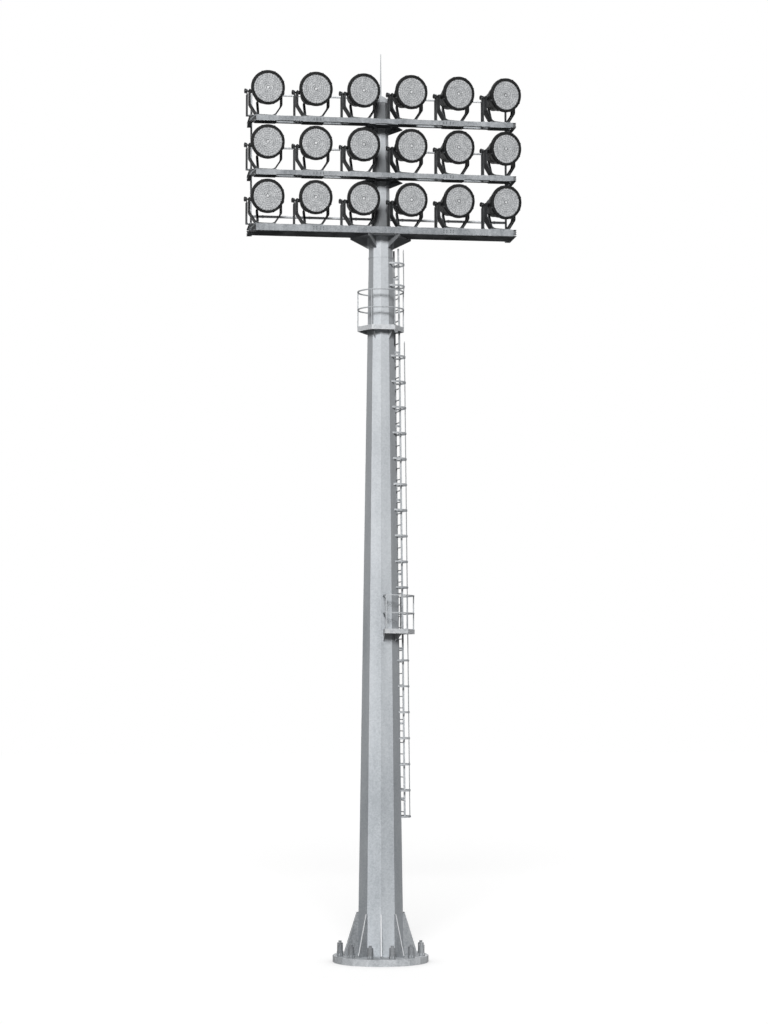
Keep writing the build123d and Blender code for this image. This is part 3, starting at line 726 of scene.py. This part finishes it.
tierLook = {
    "seatBolts": (0.245, 0.155),     # from the middle of each seat plate
    "plateMiddle": -0.4625,
    "plateRise": 0.0103,
    "footBolts": (0.15, 0.055),
    "footRise": -0.637,
    "legBolts": (-0.462, 0.04),
    "boltSize": 0.017,
    "endHalf": 3.45,
    "beamHeight": 0.125,             # of the upper two tiers, whose clamp plates hang lower
    "endBolts": (-0.61, -0.315, 0.27),
    "cleatReach": 0.07,
    "cleatHalf": 0.035,
    "cleatShare": 0.62,              # of the beam's height
    "cleatGap": 0.0045,
    "cleatBolt": 0.014,
    "splicePlace": 1.72,
    "spliceLength": 0.34,
    "spliceRows": (-0.75, -0.3, 0.3, 0.75),
    "spliceBolt": 0.011,
    "shoe": (-0.085, 0.095),         # end bracket, from the beam's end
    "shoeDrop": 0.045,
    "shoeDepth": 0.012,
    "shoeReach": 0.19,
    "shoeGap": 0.0005,
    "shoeBolt": 0.019,
    "strapHalf": (0.09, 0.014),      # the slanted strap on the bracket
    "strapTilt": 0.75,
    "pipePlace": 0.29,
    "pipeBore": 0.0175,
    "pipeSteps": 14,
    "collarWidth": 0.04,
    "collarDepth": 0.007,
    "pipes": {"low": (19.514, 0.034), "middle": (21.365, 0.026), "top": (22.783, 0.023)},
}


# the front of the beams is the same in all three tiers
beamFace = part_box("low_tier_frame")[0][1]


def addTierFixings(mesh, tier, top):
    size = tierLook["boltSize"]
    halfX, halfY = tierLook["seatBolts"]
    footX, footY = tierLook["footBolts"]
    legX, legY = tierLook["legBolts"]
    floor = top + tierLook["plateRise"]
    up = Vector((0, 0, 1))
    for joint in frame["joints"]:
        if not joint["child"].startswith(tier):
            continue
        base = lampFrame(joint)
        for sideX in (-1, 1):
            for sideY in (-1, 1):
                spot = (joint["pos_m"][0] + sideX * halfX,
                        tierLook["plateMiddle"] + sideY * halfY, floor)
                addBolt(mesh, spot, up, size * 0.85)
                spot = base @ Vector((sideX * footX, sideY * footY, tierLook["footRise"]))
                addBolt(mesh, spot, up, size)
        for sideY in (-1, 1):
            spot = base @ Vector((legX, sideY * legY, 0))
            spot.z = floor
            addBolt(mesh, spot, up, size * 0.8)


def addCleats(mesh, side, low, top):
    end = side * tierLook["endHalf"]
    middle = (low + top) / 2
    height = (top - low) * tierLook["cleatShare"]
    reach, half = tierLook["cleatReach"], tierLook["cleatHalf"]
    xRange = (0, reach) if side > 0 else (-reach, 0)
    for place in tierLook["endBolts"]:
        spot = Vector((end + side * tierLook["cleatGap"], place, middle))
        cleat = Matrix.Translation(spot)
        addBar(mesh, xRange, (-half, half), (-height / 2, height / 2), cleat, 0.006)
        for rise in (-1, 1):
            offset = Vector((side * reach, 0, rise * height * 0.28))
            addBolt(mesh, spot + offset, (side, 0, 0), tierLook["cleatBolt"])
    join = side * tierLook["splicePlace"]
    half = tierLook["spliceLength"] / 2
    for across in tierLook["spliceRows"]:
        for rise in (-1, 1):
            spot = (join + across * half, beamFace, middle + rise * height * 0.26)
            addBolt(mesh, spot, (0, -1, 0), tierLook["spliceBolt"])


def addShoe(mesh, shoes, low, top):
    # in the photo, only the left ends of the beams have a bracket
    end = -tierLook["endHalf"]
    middle = (low + top) / 2
    left, right = sorted(end - reach for reach in tierLook["shoe"])
    depth, drop, gap = tierLook["shoeDepth"], tierLook["shoeDrop"], tierLook["shoeGap"]
    plate = Matrix.Translation((0, beamFace - gap, 0))
    addBar(shoes, (left, right), (-depth, 0), (low - drop, top - 0.006), plate, 0.003)
    halfLength, halfWidth = tierLook["strapHalf"]
    tilt = Matrix.Translation((end, beamFace - depth - gap, middle))
    tilt = tilt @ Matrix.Rotation(-tierLook["strapTilt"], 4, "Y")
    addBar(mesh, (-halfLength, halfLength), (-0.01, 0), (-halfWidth, halfWidth), tilt, 0.002)
    for across in (0.2, 0.8):
        for rise in (0.15, 0.85):
            spot = (left + across * (right - left), beamFace - depth,
                    low - drop + rise * (top - low + drop))
            addBolt(mesh, spot, (0, -1, 0), tierLook["shoeBolt"])
    tongue = Matrix.Translation((0, beamFace, low - gap))
    addBar(shoes, (left, right), (0, tierLook["shoeReach"]), (-0.01, 0), tongue, 0.002)


def addConduit(mesh, tier, height, radius):
    # cable pipe along the rail, with a collar at every lamp
    half = tierLook["endHalf"] - 0.06
    bore, steps = tierLook["pipeBore"], tierLook["pipeSteps"]
    start = Vector((-half, tierLook["pipePlace"], height))
    addTurned(mesh, [(bore, 0), (radius, 0), (radius, 2 * half), (bore, 2 * half)], steps,
              along(start, (1, 0, 0)))
    outer, width = radius + tierLook["collarDepth"], tierLook["collarWidth"]
    for joint in frame["joints"]:
        if joint["child"].startswith(tier):
            spot = Vector((joint["pos_m"][0] - width / 2, tierLook["pipePlace"], height))
            addTurned(mesh, [(radius, 0), (outer, 0), (outer, width), (radius, width)], steps,
                      along(spot, (1, 0, 0)))


for tier in ("low", "middle", "top"):
    low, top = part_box(tier + "_tier_frame")[0][2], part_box(tier + "_tier_frame")[1][2]
    if tier != "low":
        low = top - tierLook["beamHeight"]
    edges = bmesh.new()
    for joint in frame["joints"]:
        if joint["child"].startswith(tier):
            addYokeEdges(edges, lampFrame(joint))
    makePiece(tier + "_yoke_edges", edges, cradlePaint)
    fixings = bmesh.new()
    addTierFixings(fixings, tier, top)
    makePiece(tier + "_tier_bolts", fixings, fittingSteel)
    cleats = bmesh.new()
    shoes = bmesh.new()
    for side in (-1, 1):
        addCleats(cleats, side, low, top)
        if side < 0:
            addShoe(cleats, shoes, low, top)
    makePiece(tier + "_beam_cleats", cleats, fittingSteel)
    makePiece(tier + "_beam_shoes", shoes, shoeSteel)
    conduit = bmesh.new()
    addConduit(conduit, tier, *tierLook["pipes"][tier])
    makePiece(tier + "_rail_conduit", conduit, conduitLitZinc)
print("tiers fitted")


# foot of the pole: nuts under the caps, weld beads and small bolts between the gussets

foot = {
    "sides": 10,
    "turn": 11.5,
    "boltTurn": 8.5,
    "boltCircle": 1.090,
    "bolts": 12,
    "flangeTop": 0.1753,
    "poleRadius": 0.6212,
    "nutRadius": 0.084,
    "nutHeight": 0.052,
    "nutPlace": 0.0145,
    "beadSize": 0.014,
    "gussetReach": 0.985,
    "gussetHalf": 0.015,
    "innerCircle": 0.86,
    "innerBolt": 0.022,
    "nutBore": 0.07,
}


def polar(radius, bearing, height):
    turn = math.radians(bearing)
    return Vector((radius * math.cos(turn), radius * math.sin(turn), height))


beadProfile = ((-1, 0), (-0.55, 0.62), (0, 0.85), (0.55, 0.62), (1, 0))


def addBead(mesh, start, end, size, up):
    # fillet weld between two faces: a flattened run with a slightly uneven crown
    heading = (end - start).normalized()
    across = heading.cross(up).normalized()
    count = max(2, int((end - start).length / 0.05))
    rows = []
    for step in range(count + 1):
        spot = start.lerp(end, step / count)
        swell = size * (1 + 0.14 * math.sin(step * 2.4))
        rows.append([mesh.verts.new(spot + across * (swell * aside) + up * (swell * rise))
                     for aside, rise in beadProfile])
    for low, high in zip(rows, rows[1:]):
        for corner in range(4):
            mesh.faces.new([low[corner], low[corner + 1], high[corner + 1], high[corner]])
        mesh.faces.new([low[4], low[0], high[0], high[4]])
    mesh.faces.new(rows[0])
    mesh.faces.new(list(reversed(rows[-1])))


def addFoot(mesh):
    step = 360 / foot["sides"]
    top = foot["flangeTop"]
    up = Vector((0, 0, 1))
    for index in range(foot["sides"]):
        bearing = foot["turn"] + index * step
        corner = polar(foot["poleRadius"], bearing, top)
        after = polar(foot["poleRadius"], bearing + step, top)
        addBead(mesh, corner.lerp(after, 0.06), corner.lerp(after, 0.94), foot["beadSize"], up)
        side = polar(1, bearing + 90, 0)
        for offset in (-foot["gussetHalf"], foot["gussetHalf"]):
            start = polar(foot["poleRadius"] + 0.03, bearing, top) + side * offset
            end = polar(foot["gussetReach"], bearing, top) + side * offset
            addBead(mesh, start, end, foot["beadSize"] * 0.8, up)
        addBolt(mesh, polar(foot["innerCircle"], bearing + step / 2, top), up, foot["innerBolt"])
    radius, height, bore = foot["nutRadius"], foot["nutHeight"], foot["nutBore"]
    for index in range(foot["bolts"]):
        bearing = foot["boltTurn"] + index * 360 / foot["bolts"]
        place = polar(foot["boltCircle"], bearing, top + foot["nutPlace"])
        addTurned(mesh, [(bore, 0), (radius, 0), (radius, height), (radius * 0.93, height + 0.008),
                         (bore, height + 0.008)], 6, along(place, up, 0.2 * index))


beads = bmesh.new()
addFoot(beads)
makePiece("foot_welds_and_nuts", beads, zinc)


# ladder and cage fixings

climb = {
    "foot": 3.70,
    "head": 18.67,
    "footRadius": 0.604,
    "headRadius": 0.430,
    "halfWidth": 0.18,
    "setBack": 0.138,
    "cageRadius": 0.35,
    "hoops": [3.73 + 0.677 * step for step in range(7)]
             + [9.7 + 0.677 * step for step in range(10)] + [17.67, 18.26],
    "straps": (-35, 0, 35),
    "boltSize": 0.012,
    "lugHalf": 0.02,
    "lugThickness": 0.004,           # half of it
    "brackets": [4.2 + 1.95 * step for step in range(8)],
    "bracketBolts": (0.012, 0.045),
}


def ladderReach(height):
    share = (height - climb["foot"]) / (climb["head"] - climb["foot"])
    return climb["footRadius"] + (climb["headRadius"] - climb["footRadius"]) * share


def addClimbFixings(mesh):
    size, turn = climb["boltSize"], foot["turn"]
    half, thickness = climb["lugHalf"], climb["lugThickness"]
    up = Vector((0, 0, 1))
    forward = polar(1, turn, 0)
    sides = [polar(1, turn + 90, 0) * side for side in (-1, 1)]
    stringer = climb["halfWidth"] + 0.006
    hoopHalf = math.sqrt(climb["cageRadius"] ** 2 - climb["setBack"] ** 2)
    reach = hoopHalf - climb["halfWidth"] - 0.012
    for height in climb["hoops"]:
        centre = polar(ladderReach(height) - climb["setBack"], turn, height)
        for angle in climb["straps"]:
            outward = polar(1, turn + angle, 0)
            addBolt(mesh, centre + outward * (climb["cageRadius"] - 0.001), outward, size)
        for sideways in sides:
            # lugs that clamp the hoop to the stringers
            spot = polar(ladderReach(height), turn, height) + sideways * stringer
            lug = Matrix.Translation(spot) @ Matrix((sideways, forward, up)).transposed().to_4x4()
            addBar(mesh, (0, reach), (-half, half), (-thickness, thickness), lug, 0.001)
            addBolt(mesh, spot + up * thickness + sideways * 0.02, up, size * 0.8)
    for height in climb["brackets"]:
        for sideways in sides:
            for inward in climb["bracketBolts"]:
                spot = polar(ladderReach(height) - inward, turn, height)
                addBolt(mesh, spot + sideways * stringer, sideways, size)


climbing = bmesh.new()
addClimbFixings(climbing)
makePiece("ladder_fixings", climbing, zinc)


# feet of the guard posts, and the bolts of the head plate

guard = {
    "restFloor": 8.6,
    "restRadius": 0.870,
    "restPosts": (-88, -45, 0, 45, 88),
    "upperFloor": 16.58,
    "upperRadius": 0.605,
    "upperPosts": (0, 60, 180, 240, 300),
    "plateHalf": 0.034,
    "plateInner": 0.02,              # how much further it reaches inward
    "plateOuter": 0.014,
    "plateThickness": 0.006,
    "plateBolts": (-0.037, 0.02),
    "plateBolt": 0.008,
    "headPlateTop": 18.972,
    "headBoltRadius": 0.42,
    "headBolts": 12,
    "headBolt": 0.024,
}


def addGuardFoot(mesh, radius, bearing, floor):
    outward = polar(1, bearing, 0)
    sideways = polar(1, bearing + 90, 0)
    up = Vector((0, 0, 1))
    base = Matrix.Translation(polar(radius, bearing, floor + 0.0005))
    base = base @ Matrix((outward, sideways, up)).transposed().to_4x4()
    half, thickness = guard["plateHalf"], guard["plateThickness"]
    inner = -half - guard["plateInner"]
    addBar(mesh, (inner, guard["plateOuter"]), (-half, half), (0, thickness), base, 0.004)
    inward, aside = guard["plateBolts"]
    for side in (-1, 1):
        addBolt(mesh, base @ Vector((inward, side * aside, thickness)), up, guard["plateBolt"])


rails = bmesh.new()
for bearing in guard["restPosts"]:
    addGuardFoot(rails, guard["restRadius"], bearing, guard["restFloor"])
for bearing in guard["upperPosts"]:
    addGuardFoot(rails, guard["upperRadius"], bearing, guard["upperFloor"])
for index in range(guard["headBolts"]):
    bearing = foot["turn"] + (index + 0.5) * 360 / guard["headBolts"]
    spot = polar(guard["headBoltRadius"], bearing, guard["headPlateTop"])
    addBolt(rails, spot, (0, 0, 1), guard["headBolt"])
makePiece("platform_and_head_bolts", rails, zinc)
print("bolts and welds set")


# floor, light and camera

studio = {
    "floorSize": 400.0,
    "floorColour": grey(0.22),       # for light that bounces off the floor
    "floorTop": grey(0.4),           # for the rays named in whiteRays
    "floorGlow": grey(0.7),
    # the floor's glow inside the painted contact shadow
    "floorShadow": grey(0.35),
    "touch": 1.1,
    "touchShape": 1.5,
    "skyFill": 0.05,
}
# bearing and height in degrees
suns = {
    "keySun": {"bearing": -99, "height": 26, "strength": 3.6, "softness": 18},
    "backSun": {"bearing": 78, "height": 55, "strength": 0.9, "softness": 60},
}
view = {
    "bearing": -97.5,
    "distance": 62.9,
    "height": 7.02,
    "pitch": 4.24,
    "turn": -7.58,
    "lens": 84.375,
}
# these see a white surround
whiteRays = ("Is Camera Ray", "Is Glossy Ray", "Is Transmission Ray")


def makeFloor():
    bpy.ops.mesh.primitive_plane_add(size=studio["floorSize"])
    floor = bpy.context.object
    floor.name = "studioFloor"
    shader = Shader("studioFloor")
    camera, glossy, through = [shader.node("ShaderNodeLightPath", None, None, ray)
                               for ray in whiteRays]
    seen = shader.clamp(camera + glossy + through)
    # painted contact shadow: an ambient occlusion node darkens the floor's glow where the flange
    # meets the floor
    clear = shader.node("ShaderNodeAmbientOcclusion", {"samples": 16},
                        {"Distance": studio["touch"]}, "AO")
    glow = shader.mix(clear ** studio["touchShape"], studio["floorShadow"], studio["floorGlow"])
    shader.finish({
        "Base Color": shader.mix(seen, studio["floorColour"], studio["floorTop"]),
        "Roughness": 1.0,
        "Specular IOR Level": 0.0,
        "Emission Color": shader.mix(seen, grey(0.0), glow),
        "Emission Strength": 1.0,
    })
    floor.data.materials.append(shader.material)


def makeSky():
    world = bpy.data.worlds.new("studioSky")
    bpy.context.scene.world = world
    world.use_nodes = True
    tree = world.node_tree
    tree.nodes.clear()
    rays = tree.nodes.new("ShaderNodeLightPath")
    seen = rays.outputs[whiteRays[0]]
    for name in whiteRays[1:]:
        either = tree.nodes.new("ShaderNodeMath")
        either.operation = "MAXIMUM"
        tree.links.new(seen, either.inputs[0])
        tree.links.new(rays.outputs[name], either.inputs[1])
        seen = either.outputs[0]
    level = tree.nodes.new("ShaderNodeMath")
    level.operation = "MULTIPLY_ADD"
    tree.links.new(seen, level.inputs[0])
    level.inputs[1].default_value = 1 - studio["skyFill"]
    level.inputs[2].default_value = studio["skyFill"]
    back = tree.nodes.new("ShaderNodeBackground")
    back.inputs["Color"].default_value = grey(1.0)
    tree.links.new(level.outputs[0], back.inputs["Strength"])
    out = tree.nodes.new("ShaderNodeOutputWorld")
    tree.links.new(back.outputs[0], out.inputs["Surface"])


def addSun(name, sun):
    light = bpy.data.lights.new(name, "SUN")
    light.energy = sun["strength"]
    light.angle = math.radians(sun["softness"])
    holder = bpy.data.objects.new(name, light)
    bpy.context.collection.objects.link(holder)
    turn, rise = math.radians(sun["bearing"]), math.radians(sun["height"])
    toSun = Vector((math.cos(turn) * math.cos(rise), math.sin(turn) * math.cos(rise),
                    math.sin(rise)))
    holder.rotation_mode = "QUATERNION"
    holder.rotation_quaternion = toSun.to_track_quat("Z", "Y")


def makeCamera():
    data = bpy.data.cameras.new("viewCamera")
    data.lens = view["lens"]
    data.sensor_width = 36
    data.clip_end = 500
    camera = bpy.data.objects.new("viewCamera", data)
    bpy.context.collection.objects.link(camera)
    turn = math.radians(view["bearing"])
    distance = view["distance"]
    camera.location = (distance * math.cos(turn), distance * math.sin(turn), view["height"])
    camera.rotation_euler = (math.radians(90 + view["pitch"]), 0, math.radians(view["turn"]))
    bpy.context.scene.camera = camera


makeFloor()
makeSky()
for name, sun in suns.items():
    addSun(name, sun)
makeCamera()
bpy.context.scene.view_settings.view_transform = "Standard"
print("stage ready")
